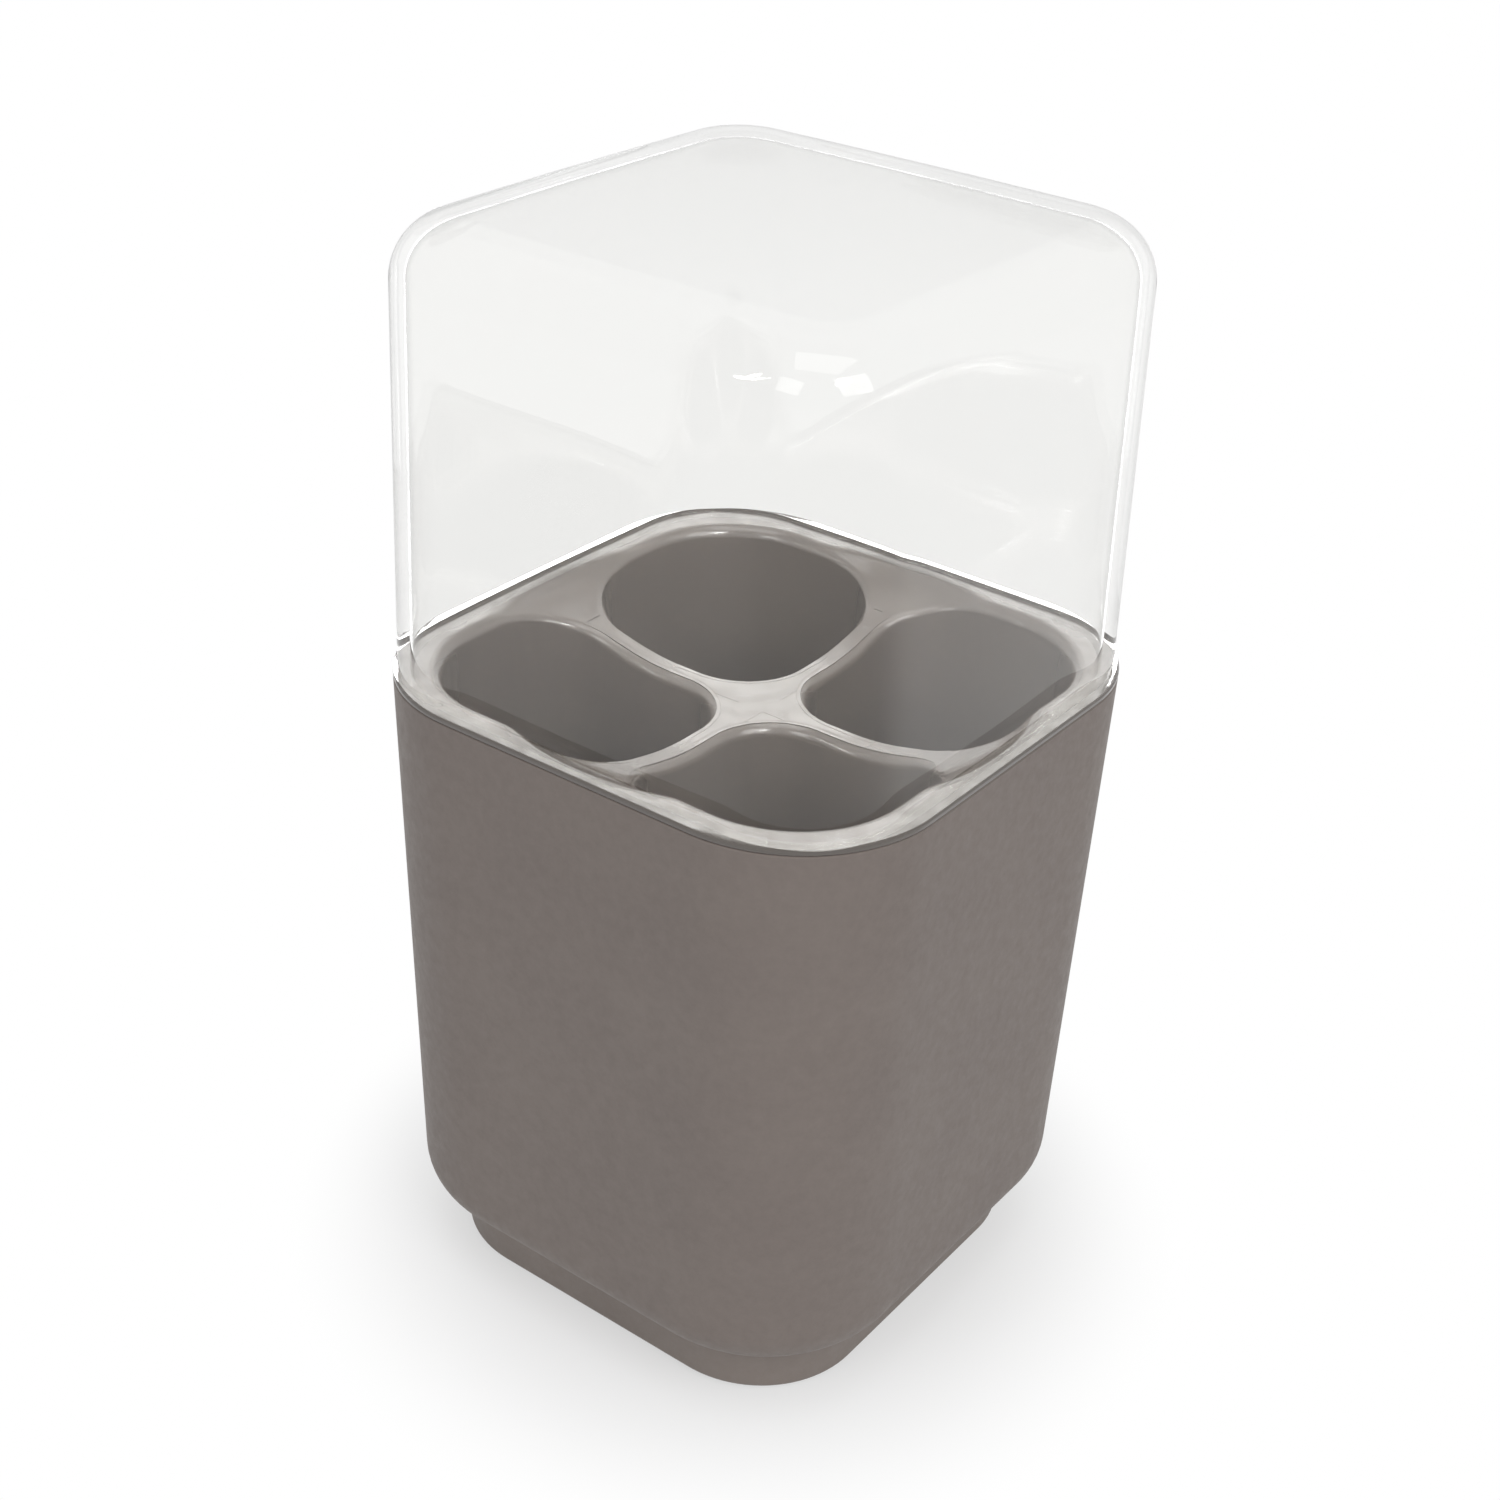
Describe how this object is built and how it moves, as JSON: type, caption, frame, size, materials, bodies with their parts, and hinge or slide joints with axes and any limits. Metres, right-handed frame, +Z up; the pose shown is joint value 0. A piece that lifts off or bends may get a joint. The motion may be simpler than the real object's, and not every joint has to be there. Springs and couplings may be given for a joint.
{
  "type": "covered toothbrush holder",
  "caption": "Free-standing rounded-square holder with a matte tapered body, a lift-out insert with deep cups and a clear lift-off cover.",
  "frame": {"origin": "centre of the footprint, on the plane that the pads stand on", "axes": "+Z up; the four flat sides face +X, -X, +Y and -Y; -Y is the side seen on the picture's left"},
  "size_m": [0.08, 0.08, 0.1526],
  "materials": {
    "matte_taupe": "fine spark texture, matte",
    "plinth_taupe": "fine spark texture, matte",
    "gloss_taupe": "polished",
    "clear_plastic": "clear, polished",
    "pad_rubber": "soft matte"
  },
  "bodies": {
    "base": {"outer_body": "matte_taupe", "base_plinth": "plinth_taupe", "grip_pad_1": "pad_rubber", "grip_pad_2": "pad_rubber", "grip_pad_3": "pad_rubber", "grip_pad_4": "pad_rubber"},
    "insert": {"compartment_insert": "gloss_taupe"},
    "cover": {"clear_cover": "clear_plastic"}
  },
  "joints": [
    {"name": "insert_lift", "type": "slide", "parent": "base", "child": "insert", "axis": [0, 0, 1], "range_m": [0, 0.085]},
    {"name": "cover_lift", "type": "slide", "parent": "insert", "child": "cover", "axis": [0, 0, 1], "range_m": [0, 0.07]}
  ]
}
